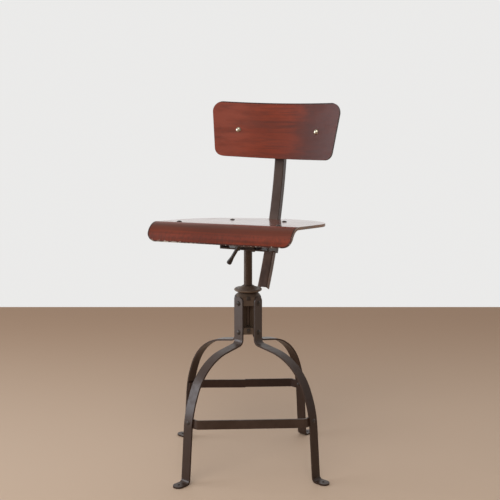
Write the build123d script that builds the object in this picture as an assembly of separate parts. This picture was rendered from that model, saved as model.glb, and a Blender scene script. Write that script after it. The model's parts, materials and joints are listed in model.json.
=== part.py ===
"""Height-adjustable drafting chair: four flat-iron legs, sliding column, ply seat and ply back.

Frame: millimetres, +Z up, origin on the floor on the column's axis. The sitter faces -Y and
+X is the sitter's left. The base stands turned BASE_YAW about the column from the seat.
"""
from build123d import *
from math import asin, atan2, cos, degrees, hypot, radians, sin, sqrt, tan
import os

os.makedirs("parts", exist_ok=True)

# ---- base ----
BASE_YAW = 28.8            # turn of the base under the seat
FOOT_HOLE_RADIUS = 278.5   # foot screw holes, from the column's axis
FOOT_HOLE_R = 3.5
FOOT_TIP = 17.0            # rounded end of a foot past its hole
LEG_WIDTH = 30.0
LEG_THICK = 5.0
LEG_HUB_R = 38.0           # middle of the leg's plate at the hub
LEG_TOP_Z = 488.5
SHOULDER = (186.2, 326.6)  # corner of the leg's outline at the shoulder (radius, height)
KNEE = (238.5, 194.4)      # corner where the leg turns nearly upright
SHOULDER_SLOPE = 0.172     # fall of the leg between hub and shoulder
SHIN_SLOPE = 0.077         # outward run of the shin
HUB_BEND_R = 16.0
SHOULDER_BEND_R = 155.0
KNEE_BEND_R = 285.0
FOOT_BEND_R = 11.0
LEG_TOP_ROUND = 14.5
THROUGH = 100.0            # length of a cut that passes right through
EDGE = 1.0                 # small chamfer
UPPER_HUB_Z = (462.5, 498.6)   # the hub's upper block, above its windows
LOWER_HUB_Z = (379.7, 398.7)
HUB_SIDE = 33.0            # half distance between the hub's open faces
HUB_CROWN = (37.3, 26.0, 11.6)  # cone that cuts the hub's shoulders: radii below and on top, height
RIB_WIDTH = 16.0           # ribs behind the legs, between the two blocks
RIB_R = 14.5               # the ribs stop this far from the axis
RIVET_R = 3.5
RIVET_HEAD_R = 6.5         # rivets of the footrest bars
RIVET_HEAD_H = 3.0
HUB_RIVET_HEAD = (7.8, 3.4)    # larger heads of the hub's rivets: radius, height
UPPER_RIVET_Z = 469.5
LOWER_RIVET_Z = 385.5
RIVET_DEPTH = 10.0         # rivet shank inside the hub
RIVET_SEAT = 0.02          # a riveted face stands this far off a curved one
SET_SCREW_R = 4.0
SET_SCREW_HEAD = 10.0      # square head across flats
SET_SCREW_HEAD_H = 6.0
SCREW_TIP_GAP = 1.0        # between a set screw's tip and the column
UPPER_SET_SCREW_Z = 485.0
LOWER_SET_SCREW_Z = 391.0

# ---- footrest bars ----
BAR_HEIGHT = 25.0
BAR_THICK = 5.0
BAR_Z = 169.5
BAR_BEND_R = 9.0
BAR_TWIST = 12.0           # length over which the end turns to the leg's lean
BAR_TAB = 27.0             # flat end riveted to the leg
BAR_KINK = 1.4             # drop at the middle of the rear bar

# ---- column and its clamp ----
COLUMN_R = 12.0
COLUMN_Z = (382.0, 658.7)
RUNNING = 0.05             # radial clearance of a running fit
COLLET_R = 15.0
COLLET_TOP_Z = 517.2
COLLET_SLIT = 1.6
COLLET_BASE = 3.0          # unsplit height at its foot
WHEEL_R = 39.8
WHEEL_Z = 501.2            # underside of the wheel's rim
WHEEL_RIM = 7.5
WHEEL_RIM_DEPTH = 6.0      # flat top of the rim, inwards
WHEEL_ROUND = 3.0
WHEEL_DISH = 0.6           # the web starts this far below the rim's top
WHEEL_BOSS_H = 7.4         # coned boss above the rim's top
WHEEL_BOSS = (12.0, 3.0, 1.8)  # boss outside the collet: foot, neck and top

# ---- seat carrier ----
SADDLE_Z = 620.7
SADDLE_HALF = 77.0
SADDLE_DEPTH = 50.0
SADDLE_FLANGE = 60.0       # reach of the upper flanges outwards
PLATE = 4.0
TONGUE = 5.0
HEAD_FLANGE = 5.0
HEAD_PLATE = (64.0, 44.0, 8.0)     # flange: width, depth, corner radius
TONGUE_PLATE = (64.0, 56.0, 8.0)
TONGUE_Y = 6.0             # middle of the tongue, behind the axis
HEAD_SCREW_FLATS = 9.2
HEAD_SCREW_CAP = 4.0       # height of the screw heads
BLIND_GAP = 0.3            # bore past the end of what sits in it
HEAD_TOP_Z = 670.7
HEAD_BOSS_R = 20.0
HEAD_SCREWS = (24.0, 14.0)
HEAD_SCREW_R = 3.0
LEVER_Z = 645.7
LEVER_Y = -44.0
LEVER_LENGTH = 74.0
LEVER_ANGLE = 32.0         # lean of the hanging lever towards the sitter's right
LEVER_R = 5.0
LEVER_HUB_R = 8.5
CLAMP_SCREW_R = 5.0
CLAMP_PAD = 4.0            # pad in front of the head's boss
CLAMP_PAD_WALL = 5.0
LEVER_ROOT_R = 4.0         # thin root in the hub
LEVER_HUB_HALF = 6.0
LEVER_END_R = 7.4
LEVER_END = 0.7            # the cone starts at this share of the length
LEVER_TIP_H = 4.0
HUB_EDGE = 1.2

# ---- seat ----
SEAT_Z = 698.7             # top of the seat over the column
SEAT_TILT = 3.8            # fall towards the back, degrees
SEAT_CANT = 0.9            # the sitter's right side hangs lower by this, degrees
SEAT_THICK = 8.0
SEAT_WIDTH = 430.0
SEAT_ROUND_Y = 7.0         # centre of the round back edge
ROLL_START = 143.0         # the flat ends this far ahead of the column
ROLL_R = 47.0              # outer radius of the rolled front
ROLL_LIP = 6.0             # straight lip below the roll
ROLL_CORNER = 26.0
NOTCH_HALF = 17.0
NOTCH_Y = 163.0
FRONT_BOLT = (151.0, -125.0)
REAR_BOLT = (83.0, 66.0)
SEAT_BOLT_R = 3.0
SEAT_BOLT_HEAD_R = 8.0
SEAT_BOLT_HEAD_H = 3.5
STRAP_WIDTH = 26.0
SADDLE_BOLT_Y = 14.0

# ---- back bar ----
ARC_CENTRE = (-975.2, 1048.6)   # (y, z) of the centre of the bar's arc
ARC_R = 1202.0                  # front face of the bar
CHANNEL_W = 30.0
CHANNEL_D = 22.0
CHANNEL_T = 2.5
CHANNEL_ROUND = 3.0
BAR_LOW_Z = 495.7
PIVOT_Z = 946.7
PIVOT_DEPTH = 12.0              # pivot behind the bar's front face
BAR_ABOVE_PIVOT = 11.0
GUIDE_Z = 612.7
GUIDE_HEIGHT = 34.0
GUIDE_WALL = 4.0
GUIDE_GAP = 0.5
GUIDE_SCREW_R = 4.0
GUIDE_HEAD = 12.0               # square head across flats
GUIDE_HEAD_H = 7.0
ARM_WIDTH = 32.0
ARM_START = 30.0                # the arm leaves the tongue this far behind the axis

# ---- backrest ----
BACK_Y = 203.0             # front face of the panel at its middle
BACK_TILT = 8.5
BACK_THICK = 9.0
BACK_HEIGHT = 165.0
BACK_TOP_HALF = 209.0
BACK_LOW_HALF = 187.0
BACK_CURVE_R = 673.0
BACK_ROLL = 1.1             # the panel hangs lower at the sitter's left by this, degrees
BACK_SHIFT = (-3.5, 3.0)    # middle of the panel from the bracket, sideways and up
BACK_ROUND_TOP = 30.0
BACK_ROUND_LOW = 25.0
BACK_BOLT_X = 126.5
BACK_BOLT_UP = 2.0
BACK_BOLT_R = 3.0
BACK_BOLT_HEAD_R = 8.0
BACK_BOLT_HEAD_H = 4.0
CROSS_STRAP = (146.0, 25.0, 4.0)   # half length, height, thickness
EAR = 3.0
EAR_GAP = 0.5
PIVOT_R = 4.0
PIVOT_HEAD = (7.0, 4.0)            # head of the pin: radius, height
PIVOT_NUT_FLATS = 13.0
EAR_HEIGHT = 18.0
BRACKET_GAP = 0.2                  # between the curved strap and the bracket's plate
BRACKET_RIVET_R = 2.5
BRACKET_RIVET_X = 11.0
BRACKET_LOW = 22.0
BRACKET_HIGH = 12.0

NUT_H = 5.0
NUT_FLATS = 10.0
THREAD_END = 2.0           # bolt showing past its nut

SEAT_PLANE = Plane(Pos(0, 0, SEAT_Z) * Rot(-SEAT_TILT, 0, 0) * Rot(0, -SEAT_CANT, 0))
BACK_PLANE = Plane(origin=(0, BACK_Y, PIVOT_Z), x_dir=(1, 0, 0),
                   z_dir=(0, sin(radians(BACK_TILT)), cos(radians(BACK_TILT))))


def save(name, *solids):
    """Write one node; several solids stay separate."""
    shape = solids[0] if len(solids) == 1 else Compound(children=list(solids))
    shape.label = name
    export_step(shape, f"parts/{name}.step")


def turned(shape, angle):
    return Rot(0, 0, angle) * shape


def rod(start, end, radius):
    """Solid cylinder from one point to another."""
    a, b = Vector(*start), Vector(*end)
    plane = Plane(origin=a, z_dir=b - a)
    return plane * Cylinder(radius, (b - a).length, align=(Align.CENTER, Align.CENTER, Align.MIN))


def dome(plane, radius, height):
    """Round-headed rivet or bolt head standing on a plane, rounded over the top."""
    ball = (radius ** 2 + height ** 2) / (2 * height)
    cap = Pos(0, 0, height - ball) * Sphere(ball)
    keep = Pos(0, 0, height / 2) * Box(4 * radius, 4 * radius, height)
    return plane * (cap & keep)


def hex_nut(plane, flats, height, bore):
    nut = extrude(RegularPolygon(flats / 2, 6, major_radius=False), height)
    return plane * (nut - Cylinder(bore, 4 * height))


# ================= base =================
def leg_path():
    """Middle line of a leg in the XZ plane, from the hub down to the foot's tip."""
    hub_corner = SHOULDER[1] + SHOULDER_SLOPE * (SHOULDER[0] - LEG_HUB_R)
    floor = LEG_THICK / 2
    heel = KNEE[0] + SHIN_SLOPE * (KNEE[1] - floor)
    points = [
        (LEG_HUB_R, 0, LEG_TOP_Z), (LEG_HUB_R, 0, hub_corner), (SHOULDER[0], 0, SHOULDER[1]),
        (KNEE[0], 0, KNEE[1]), (heel, 0, floor), (FOOT_HOLE_RADIUS + FOOT_TIP, 0, floor),
    ]
    return FilletPolyline(*points, radius=[HUB_BEND_R, SHOULDER_BEND_R, KNEE_BEND_R, FOOT_BEND_R])


def knee_radius_and_lean(height):
    """Distance of the leg's middle line from the axis, and its lean, at a height on the knee bend."""
    upper = atan2(KNEE[0] - SHOULDER[0], SHOULDER[1] - KNEE[1])
    lower = atan2(SHIN_SLOPE, 1)
    reach = KNEE_BEND_R * tan((upper - lower) / 2)
    end_r = KNEE[0] + reach * sin(lower)
    end_z = KNEE[1] - reach * cos(lower)
    centre = (end_r - KNEE_BEND_R * cos(lower), end_z - KNEE_BEND_R * sin(lower))
    rise = height - centre[1]
    return centre[0] + sqrt(KNEE_BEND_R ** 2 - rise ** 2), degrees(asin(rise / KNEE_BEND_R))


KNEE_R, KNEE_LEAN = knee_radius_and_lean(BAR_Z)
# the bar's flat end bridges the leg's hollow inner face and stays this far from its middle
TAB_GAP = BAR_HEIGHT ** 2 / 8 / (KNEE_BEND_R - LEG_THICK) + RIVET_SEAT
TAB_FACE_R = KNEE_R - LEG_THICK / 2 / cos(radians(KNEE_LEAN)) - TAB_GAP


def tab_plane(angle):
    """Plane on the inner face of the leg at an angle, its normal pointing out through the leg."""
    a, lean = radians(angle), radians(KNEE_LEAN)
    out = Vector(cos(a) * cos(lean), sin(a) * cos(lean), sin(lean))
    return Plane(origin=(TAB_FACE_R * cos(a), TAB_FACE_R * sin(a), BAR_Z),
                 x_dir=(-sin(a), cos(a), 0), z_dir=out)


def make_leg():
    """Flat iron bent to the leg's line, its top rounded, its foot turned out and drilled."""
    path = leg_path()
    section = Plane(origin=(LEG_HUB_R, 0, LEG_TOP_Z), z_dir=(0, 0, -1)) * Rectangle(LEG_THICK, LEG_WIDTH)
    leg = sweep(section, path=path)
    face = Plane(origin=(LEG_HUB_R, 0, 0), x_dir=(0, 1, 0), z_dir=(1, 0, 0))
    top = Pos(0, LEG_TOP_Z - LEG_WIDTH / 2) * RectangleRounded(LEG_WIDTH, LEG_WIDTH, LEG_TOP_ROUND)
    top_corners = Pos(0, LEG_TOP_Z - LEG_WIDTH / 4) * Rectangle(LEG_WIDTH, LEG_WIDTH / 2) - top
    leg -= extrude(face * top_corners, LEG_THICK, both=True)
    tip = FOOT_HOLE_RADIUS + FOOT_TIP
    round_end = Pos(tip - LEG_WIDTH / 2, 0) * Circle(LEG_WIDTH / 2)
    end_box = Pos(tip, 0) * Rectangle(LEG_WIDTH, LEG_WIDTH)
    leg -= extrude(end_box - round_end, 2 * LEG_THICK)
    leg -= Pos(FOOT_HOLE_RADIUS, 0, 0) * Cylinder(FOOT_HOLE_R, 4 * LEG_THICK)
    for height in (UPPER_RIVET_Z, LOWER_RIVET_Z):
        leg -= rod((0, 0, height), (2 * LEG_HUB_R, 0, height), RIVET_R)
    plane = tab_plane(0)
    leg -= plane * Cylinder(RIVET_R, 6 * LEG_THICK)
    return leg


def make_hub():
    """Cast hub: two blocks with pads on the diagonals for the legs, joined by four ribs, and bored."""
    low, high = LOWER_HUB_Z[0], UPPER_HUB_Z[1]
    pads = Rot(0, 0, 45) * Box(2 * LEG_HUB_R - LEG_THICK, 2 * LEG_HUB_R - LEG_THICK, high - low)
    hub = pads & Box(2 * HUB_SIDE, 2 * HUB_SIDE, high - low)
    hub = Pos(0, 0, (low + high) / 2) * hub
    gap_low, gap_high = LOWER_HUB_Z[1], UPPER_HUB_Z[0]
    gap = Box(4 * LEG_HUB_R, 4 * LEG_HUB_R, gap_high - gap_low)
    for angle in (45, 135, 225, 315):
        rib = Pos(RIB_R + LEG_HUB_R, 0, 0) * Box(2 * LEG_HUB_R, RIB_WIDTH, gap_high - gap_low)
        gap -= turned(rib, angle)
    hub -= Pos(0, 0, (gap_low + gap_high) / 2) * gap
    hub -= Pos(0, 0, (low + high) / 2) * Cylinder(COLUMN_R + RUNNING, high - low)
    crown = Cylinder(4 * LEG_HUB_R, HUB_CROWN[2]) - Cone(*HUB_CROWN)
    hub -= Pos(0, 0, high - HUB_CROWN[2] / 2) * crown
    pad = LEG_HUB_R - LEG_THICK / 2
    for height in (UPPER_RIVET_Z, LOWER_RIVET_Z):
        for angle in (45, 135, 225, 315):
            a = radians(angle)
            hub -= rod(((pad - RIVET_DEPTH) * cos(a), (pad - RIVET_DEPTH) * sin(a), height),
                       (2 * pad * cos(a), 2 * pad * sin(a), height), RIVET_R)
    for height in (UPPER_SET_SCREW_Z, LOWER_SET_SCREW_Z):
        hub -= rod((0, -2 * HUB_SIDE, height), (0, 0, height), SET_SCREW_R)
    return hub


def hub_rivets(height):
    """Four rivets through the legs into the hub, domed outside."""
    pad = LEG_HUB_R - LEG_THICK / 2
    face = LEG_HUB_R + LEG_THICK / 2
    rivets = []
    for angle in (45, 135, 225, 315):
        a = radians(angle)
        out = (cos(a), sin(a), 0)
        shank = rod(((pad - RIVET_DEPTH) * out[0], (pad - RIVET_DEPTH) * out[1], height),
                    (face * out[0], face * out[1], height), RIVET_R)
        head = dome(Plane(origin=(face * out[0], face * out[1], height), z_dir=out),
                    *HUB_RIVET_HEAD)
        rivets.append(turned(shank + head, BASE_YAW))
    return rivets


def set_screw(height):
    """Square-headed screw in the front face of a hub, stopping short of the column."""
    head_y = -HUB_SIDE - SET_SCREW_HEAD_H / 2
    shank = rod((0, -HUB_SIDE, height), (0, -COLUMN_R - SCREW_TIP_GAP, height), SET_SCREW_R)
    head = Pos(0, head_y, height) * Box(SET_SCREW_HEAD, SET_SCREW_HEAD_H, SET_SCREW_HEAD)
    head = chamfer(head.faces().sort_by(Axis.Y)[0].edges(), EDGE)
    return turned(shank + head, BASE_YAW)


def bar_end(side):
    """End of a footrest bar: bend, twist to the leg's lean and riveted flat, for one side."""
    tab = tab_plane(-45 if side > 0 else 225)
    along = Vector(side * cos(radians(45)), sin(radians(45)), 0)
    centre = tab.origin - tab.z_dir * (BAR_THICK / 2)
    tab_start = centre - along * (BAR_TAB / 2)
    tilted = Plane(origin=tab_start, x_dir=tab.z_dir, z_dir=along)
    flat = extrude(tilted * Rectangle(BAR_THICK, BAR_HEIGHT), BAR_TAB)
    flat -= tab * Cylinder(RIVET_R, 6 * BAR_THICK)
    level = Vector(side * cos(radians(45)), -sin(radians(45)), 0)
    bend_end = tab_start - along * BAR_TWIST
    upright = Plane(origin=bend_end, x_dir=level, z_dir=along)
    twist = loft([upright * Rectangle(BAR_THICK, BAR_HEIGHT), tilted * Rectangle(BAR_THICK, BAR_HEIGHT)],
                 ruled=True)
    start = bend_end - Vector(side * sin(radians(45)), 1 - cos(radians(45)), 0) * BAR_BEND_R
    on_axis = (Align.NONE, Align.NONE, Align.CENTER)
    ring = Cylinder(BAR_BEND_R + BAR_THICK / 2, BAR_HEIGHT, arc_size=45, align=on_axis)
    ring -= Cylinder(BAR_BEND_R - BAR_THICK / 2, BAR_HEIGHT)
    bend = Pos(start.X, start.Y + BAR_BEND_R, BAR_Z) * Rot(0, 0, -90 if side > 0 else -135) * ring
    return flat + twist + bend, start


def make_bar(kink):
    """Footrest bar on the front side of the base; a kink drops its middle on one half."""
    right, start = bar_end(1)
    left, _ = bar_end(-1)
    top, low = BAR_Z + BAR_HEIGHT / 2, BAR_Z - BAR_HEIGHT / 2
    outline = Polyline((-start.X, low), (0, low), (0, low - kink), (start.X, low), (start.X, top),
                       (0, top - kink), (0, top), (-start.X, top), close=True) if kink else \
        Polyline((-start.X, low), (start.X, low), (start.X, top), (-start.X, top), close=True)
    plane = Plane(origin=(0, start.Y, 0), x_dir=(1, 0, 0), z_dir=(0, -1, 0))
    middle = extrude(plane * make_face(outline), BAR_THICK / 2, both=True)
    return middle + right + left


def footrest_rivets():
    rivets = []
    for angle in (45, 135, 225, 315):
        plane = tab_plane(angle)
        outside = LEG_THICK + TAB_GAP + RIVET_SEAT
        shank = plane * Pos(0, 0, (outside - BAR_THICK) / 2) * Cylinder(RIVET_R, outside + BAR_THICK)
        outer = dome(plane.offset(outside), RIVET_HEAD_R, RIVET_HEAD_H)
        inner_plane = Plane(origin=plane.origin - plane.z_dir * BAR_THICK, z_dir=-plane.z_dir)
        inner = dome(inner_plane, RIVET_HEAD_R, RIVET_HEAD_H)
        rivets.append(turned(shank + outer + inner, BASE_YAW))
    return rivets


# ================= column and clamp =================
def make_column():
    height = COLUMN_Z[1] - COLUMN_Z[0]
    column = Pos(0, 0, (COLUMN_Z[0] + COLUMN_Z[1]) / 2) * Cylinder(COLUMN_R, height)
    return chamfer(column.edges().filter_by(GeomType.CIRCLE), EDGE)


def make_collet():
    """Split sleeve on top of the hub that the wheel squeezes onto the column."""
    low = UPPER_HUB_Z[1]
    height = COLLET_TOP_Z - low
    sleeve = Pos(0, 0, low + height / 2) * (Cylinder(COLLET_R, height) - Cylinder(COLUMN_R + RUNNING, height))
    for angle in (0, 120, 240):
        slit = Pos(COLLET_R, 0, low + COLLET_BASE + height / 2) * Box(2 * COLLET_R, COLLET_SLIT, height)
        sleeve -= turned(slit, angle)
    return sleeve


def make_wheel():
    """Clamp wheel: rounded rim and a low coned boss round the collet."""
    bore = COLLET_R + RUNNING
    top = WHEEL_Z + WHEEL_RIM
    foot, neck, crown = (COLLET_R + width for width in WHEEL_BOSS)
    side = WHEEL_R - WHEEL_ROUND
    with BuildPart() as wheel:
        with BuildSketch(Plane.XZ):
            with BuildLine():
                Polyline((bore, WHEEL_Z), (side, WHEEL_Z), (WHEEL_R, WHEEL_Z + WHEEL_ROUND),
                         (WHEEL_R, top - WHEEL_ROUND), (side, top), (WHEEL_R - WHEEL_RIM_DEPTH, top),
                         (WHEEL_R - 2 * WHEEL_RIM_DEPTH, top - WHEEL_DISH), (foot, top),
                         (neck, top + WHEEL_BOSS_H - EDGE), (crown, top + WHEEL_BOSS_H),
                         (bore, top + WHEEL_BOSS_H), close=True)
            make_face()
        revolve(axis=Axis.Z)
    return wheel.part


# ================= seat carrier =================
def make_saddle():
    """Pressed cross plate: flat bottom under the column head, walls and flanges up to the straps."""
    bottom = Pos(0, 0, SADDLE_Z + PLATE / 2) * Box(2 * SADDLE_HALF, SADDLE_DEPTH, PLATE)
    flange_top = -SEAT_THICK - PLATE
    parts = bottom
    under = SEAT_PLANE * Pos(0, 0, flange_top - THROUGH) * Box(SEAT_WIDTH, SEAT_WIDTH, 2 * THROUGH)
    for side in (-1, 1):
        wall = Box(PLATE, SADDLE_DEPTH, THROUGH)
        wall = Pos(side * (SADDLE_HALF - PLATE / 2), 0, SADDLE_Z + THROUGH / 2) * wall
        flange = Box(SADDLE_FLANGE, SADDLE_DEPTH, PLATE)
        flange = Pos(side * (SADDLE_HALF - PLATE + SADDLE_FLANGE / 2), 0, flange_top - PLATE / 2) * flange
        parts += (wall & under) + SEAT_PLANE * flange
    parts -= Pos(0, 0, SADDLE_Z) * Cylinder(COLUMN_R + EDGE, 4 * PLATE)
    for x in (-HEAD_SCREWS[0], HEAD_SCREWS[0]):
        for y in (-HEAD_SCREWS[1], HEAD_SCREWS[1]):
            parts -= Pos(x, y, SADDLE_Z) * Cylinder(HEAD_SCREW_R, 4 * PLATE)
    for x, y in saddle_bolt_places():
        parts -= SEAT_PLANE * Pos(x, y, flange_top) * Cylinder(HEAD_SCREW_R, 4 * PLATE)
    return parts


def strap_x(y):
    """Distance of a strap's middle line from the centre at a depth y."""
    share = (y - FRONT_BOLT[1]) / (REAR_BOLT[1] - FRONT_BOLT[1])
    return FRONT_BOLT[0] + share * (REAR_BOLT[0] - FRONT_BOLT[0])


def saddle_bolt_places():
    return [(side * strap_x(y), y) for side in (-1, 1) for y in (-SADDLE_BOLT_Y, SADDLE_BOLT_Y)]


def make_strap(side):
    """Flat strap under the seat from a front bolt to a rear bolt."""
    dx, dy = REAR_BOLT[0] - FRONT_BOLT[0], REAR_BOLT[1] - FRONT_BOLT[1]
    middle = (side * (FRONT_BOLT[0] + REAR_BOLT[0]) / 2, (FRONT_BOLT[1] + REAR_BOLT[1]) / 2)
    slot = Rot(0, 0, degrees(atan2(dy, side * dx))) * SlotCenterToCenter(hypot(dx, dy), STRAP_WIDTH)
    slot = Pos(*middle) * slot
    strap = Pos(0, 0, -SEAT_THICK - PLATE) * extrude(slot, PLATE)
    for x, y in ((side * FRONT_BOLT[0], FRONT_BOLT[1]), (side * REAR_BOLT[0], REAR_BOLT[1])):
        strap -= Pos(x, y, -SEAT_THICK) * Cylinder(SEAT_BOLT_R, 4 * PLATE)
    for y in (-SADDLE_BOLT_Y, SADDLE_BOLT_Y):
        strap -= Pos(side * strap_x(y), y, -SEAT_THICK) * Cylinder(HEAD_SCREW_R, 4 * PLATE)
    return SEAT_PLANE * strap


def saddle_bolts():
    """Countersunk bolts flush with the straps, nuts under the saddle's flanges."""
    bolts = []
    top = -SEAT_THICK
    under = top - 2 * PLATE
    for x, y in saddle_bolt_places():
        shank = rod((x, y, top), (x, y, under - NUT_H - THREAD_END), HEAD_SCREW_R)
        bolts.append(SEAT_PLANE * (shank + Pos(x, y, under - NUT_H) * extrude(
            RegularPolygon(NUT_FLATS / 2, 6, major_radius=False), NUT_H)))
    return bolts


def make_head():
    """Cast head on top of the column: flange, boss with a blind bore, front pad for the clamp screw."""
    low = SADDLE_Z + PLATE + TONGUE
    flange = Pos(0, 0, low) * extrude(RectangleRounded(*HEAD_PLATE), HEAD_FLANGE)
    boss_h = HEAD_TOP_Z - low
    boss = Pos(0, 0, low + boss_h / 2) * Cylinder(HEAD_BOSS_R, boss_h)
    pad = rod((0, 0, LEVER_Z), (0, -HEAD_BOSS_R - CLAMP_PAD, LEVER_Z), CLAMP_SCREW_R + CLAMP_PAD_WALL)
    head = flange + boss + pad
    bore_h = COLUMN_Z[1] + BLIND_GAP - low
    head -= Pos(0, 0, low + bore_h / 2) * Cylinder(COLUMN_R + RUNNING, bore_h)
    head -= rod((0, 0, LEVER_Z), (0, -2 * HEAD_BOSS_R, LEVER_Z), CLAMP_SCREW_R + RUNNING)
    for x in (-HEAD_SCREWS[0], HEAD_SCREWS[0]):
        for y in (-HEAD_SCREWS[1], HEAD_SCREWS[1]):
            head -= Pos(x, y, low) * Cylinder(HEAD_SCREW_R, 6 * HEAD_FLANGE)
    return head


def head_screws():
    """Four screws up through saddle, bracket tongue and head flange, with nuts on top."""
    low = SADDLE_Z
    top = SADDLE_Z + PLATE + TONGUE + HEAD_FLANGE
    screws = []
    for x in (-HEAD_SCREWS[0], HEAD_SCREWS[0]):
        for y in (-HEAD_SCREWS[1], HEAD_SCREWS[1]):
            hexagon = RegularPolygon(HEAD_SCREW_FLATS / 2, 6, major_radius=False)
            head = Pos(x, y, low - HEAD_SCREW_CAP) * extrude(hexagon, HEAD_SCREW_CAP)
            shank = rod((x, y, low), (x, y, top + NUT_H + EDGE), HEAD_SCREW_R)
            nut = Pos(x, y, top) * extrude(hexagon, NUT_H)
            screws.append(head + shank + nut)
    return screws


def arc_frame(height, radius):
    """Plane on the bar's arc at a height: z_dir points back across the bar, y_dir up along it."""
    angle = asin((height - ARC_CENTRE[1]) / radius)
    origin = (0, ARC_CENTRE[0] + radius * cos(angle), height)
    return Plane(origin=origin, x_dir=(-1, 0, 0), z_dir=(0, cos(angle), sin(angle)))


def make_bar_bracket():
    """Tongue round the column, arm sloping back and the sleeve that guides the back bar."""
    low = SADDLE_Z + PLATE
    tongue = Pos(0, TONGUE_Y, low) * extrude(RectangleRounded(*TONGUE_PLATE), TONGUE)
    frame = arc_frame(GUIDE_Z, ARC_R)
    depth = CHANNEL_D + 2 * GUIDE_GAP
    half_w = CHANNEL_W / 2 + GUIDE_GAP
    outer = Box(2 * (half_w + GUIDE_WALL), GUIDE_HEIGHT, depth + 2 * GUIDE_WALL)
    inner = Box(2 * half_w, 2 * GUIDE_HEIGHT, depth)
    middle = Pos(0, 0, CHANNEL_D / 2)
    wall_y = (frame * Pos(0, 0, -GUIDE_GAP - GUIDE_WALL / 2)).position
    start = Vector(0, ARM_START, low + TONGUE / 2)
    end = Vector(0, wall_y.Y, wall_y.Z)
    run = end - start
    arm_plane = Plane(origin=start, x_dir=(1, 0, 0), z_dir=run)
    arm = arm_plane * Pos(0, 0, run.length / 2) * Box(ARM_WIDTH, TONGUE, run.length)
    bracket = tongue + arm + frame * middle * outer
    bracket -= frame * middle * inner
    bracket -= Pos(0, 0, low) * Cylinder(COLUMN_R + EDGE, 6 * TONGUE)
    for x in (-HEAD_SCREWS[0], HEAD_SCREWS[0]):
        for y in (-HEAD_SCREWS[1], HEAD_SCREWS[1]):
            bracket -= Pos(x, y, low) * Cylinder(HEAD_SCREW_R, 6 * TONGUE)
    back = CHANNEL_D + GUIDE_GAP
    bracket -= frame * Pos(0, 0, back) * Cylinder(GUIDE_SCREW_R, 4 * GUIDE_WALL)
    return bracket


def guide_screw():
    """Square-headed screw through the back of the sleeve, between the bar's flanges."""
    frame = arc_frame(GUIDE_Z, ARC_R)
    back = CHANNEL_D + GUIDE_GAP + GUIDE_WALL
    tip = CHANNEL_T + GUIDE_GAP
    shank = Pos(0, 0, (tip + back) / 2) * Cylinder(GUIDE_SCREW_R, back - tip)
    head = Pos(0, 0, back + GUIDE_HEAD_H / 2) * Box(GUIDE_HEAD, GUIDE_HEAD, GUIDE_HEAD_H)
    head = chamfer(head.faces().sort_by(Axis.Z)[-1].edges(), EDGE)
    return frame * (shank + head)


# ================= clamp lever =================
def make_clamp_screw():
    """Screw through the head's front pad, with the round hub that carries the lever."""
    front, back = LEVER_Y - LEVER_HUB_HALF, LEVER_Y + LEVER_HUB_HALF
    shank = rod((0, -COLUMN_R - BLIND_GAP, LEVER_Z), (0, back, LEVER_Z), CLAMP_SCREW_R)
    hub = rod((0, back, LEVER_Z), (0, front, LEVER_Z), LEVER_HUB_R)
    hub = chamfer(hub.edges().filter_by(GeomType.CIRCLE), HUB_EDGE)
    a = radians(LEVER_ANGLE)
    end = (-LEVER_LENGTH * sin(a), LEVER_Y, LEVER_Z - LEVER_LENGTH * cos(a))
    hole = rod((0, LEVER_Y, LEVER_Z), end, LEVER_ROOT_R)
    return shank + hub - hole


def make_lever():
    """Round lever with a coned end, its thin root set in the screw's hub."""
    with BuildPart() as lever:
        with BuildSketch(Plane.XZ):
            with BuildLine():
                Polyline((0, 0), (LEVER_ROOT_R, 0), (LEVER_ROOT_R, LEVER_HUB_R), (LEVER_R, LEVER_HUB_R),
                         (LEVER_R, LEVER_END * LEVER_LENGTH), (LEVER_END_R, LEVER_LENGTH - LEVER_TIP_H),
                         (LEVER_END_R - EDGE, LEVER_LENGTH), (0, LEVER_LENGTH + EDGE), close=True)
            make_face()
        revolve(axis=Axis.Z)
    a = radians(LEVER_ANGLE)
    plane = Plane(origin=(0, LEVER_Y, LEVER_Z), x_dir=(0, 1, 0), z_dir=(-sin(a), 0, -cos(a)))
    return plane * lever.part


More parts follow.
